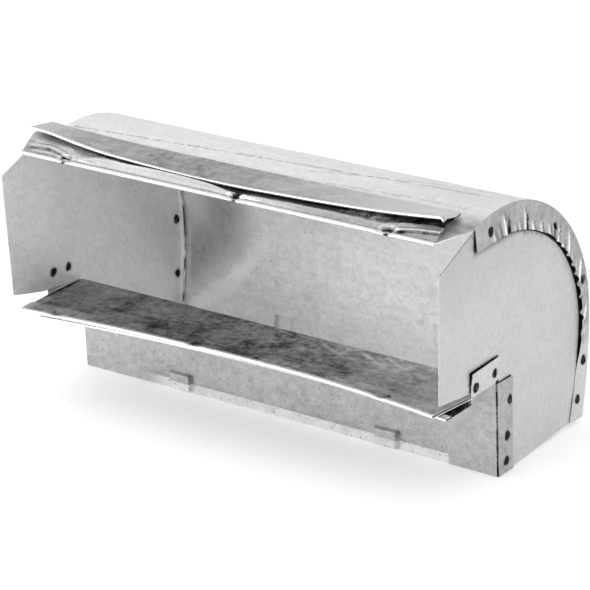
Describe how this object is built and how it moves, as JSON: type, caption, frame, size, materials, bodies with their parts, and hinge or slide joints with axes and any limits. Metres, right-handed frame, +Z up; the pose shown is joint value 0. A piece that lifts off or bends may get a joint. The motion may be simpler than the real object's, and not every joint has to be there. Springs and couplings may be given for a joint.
{
  "type": "duct wall stack head",
  "caption": "Sheet-metal register elbow that turns a flat rectangular wall duct out through a mouth in the wall, with folded lips for the plaster.",
  "frame": {"origin": "bottom centre of the whole part's box, on the plane of the collar's bottom rim", "axes": "+X along the register mouth, +Y to the rear wall, away from the room, +Z up the wall duct"},
  "size_m": [0.2624, 0.1322, 0.1408],
  "materials": {
    "roof_sheet": "galvanised, fine bright spangle",
    "panel_sheet": "galvanised, mottled grey spangle",
    "lip_sheet": "galvanised, bright at the folds",
    "plate_sheet": "galvanised, fine even spangle",
    "weld_mark": "scorched zinc"
  },
  "bodies": {
    "root": {"wrapper": "roof_sheet", "front_panel": "panel_sheet", "upper_lip_strip": "lip_sheet", "lower_lip_strip": "lip_sheet", "left_end_plate": "plate_sheet", "right_end_plate": "plate_sheet", "spot_weld_left_wrapper_1": "weld_mark", "spot_weld_left_wrapper_2": "weld_mark", "spot_weld_left_wrapper_3": "weld_mark", "spot_weld_left_wrapper_4": "weld_mark", "spot_weld_left_collar_1": "weld_mark", "spot_weld_left_collar_2": "weld_mark", "spot_weld_left_collar_3": "weld_mark", "spot_weld_left_tab_1": "weld_mark", "spot_weld_left_tab_2": "weld_mark", "spot_weld_right_wrapper_1": "weld_mark", "spot_weld_right_wrapper_2": "weld_mark", "spot_weld_right_wrapper_3": "weld_mark", "spot_weld_right_wrapper_4": "weld_mark", "spot_weld_right_collar_1": "weld_mark", "spot_weld_right_collar_2": "weld_mark", "spot_weld_right_collar_3": "weld_mark", "spot_weld_right_tab_1": "weld_mark", "spot_weld_right_tab_2": "weld_mark"}
  },
  "joints": []
}
